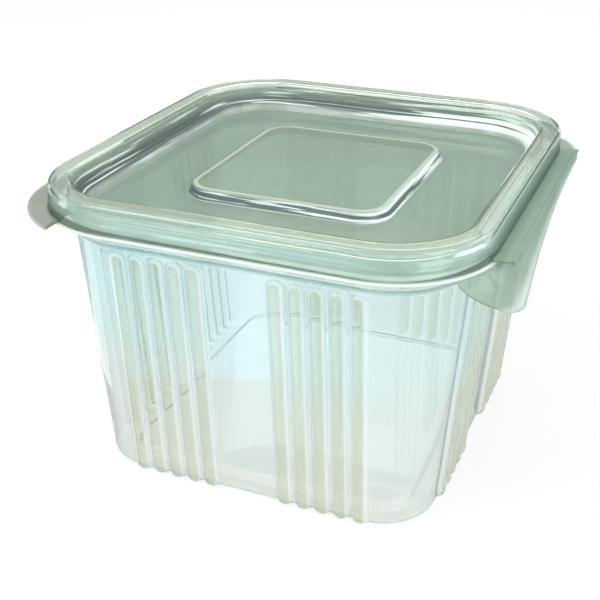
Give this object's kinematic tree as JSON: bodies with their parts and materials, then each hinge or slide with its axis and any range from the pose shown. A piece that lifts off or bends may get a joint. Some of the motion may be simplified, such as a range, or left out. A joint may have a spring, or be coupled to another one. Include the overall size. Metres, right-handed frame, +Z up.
{
  "type": "hinged food container",
  "caption": "Clear square food tub with fluted tapered walls, a snap rim and a stepped lid that folds open on a side hinge.",
  "frame": {"origin": "middle of the resting plane, below the middle of the whole part", "axes": "+Z up, +X towards the hinge, -Y towards the front wall"},
  "size_m": [0.1419, 0.1402, 0.088],
  "materials": {
    "tub_plastic": "clear thermoformed sheet, glossy, faint blue-green tint",
    "lid_plastic": "clear thermoformed sheet, glossy, grey-green tint"
  },
  "bodies": {
    "tub": {"container_body": "tub_plastic"},
    "lid": {"lid": "lid_plastic"}
  },
  "joints": [
    {"name": "lid_hinge", "type": "hinge", "parent": "tub", "child": "lid", "pos_m": [0.0654, 0, 0.08075], "axis": [0, 1, 0], "range_deg": [0, 150]}
  ]
}
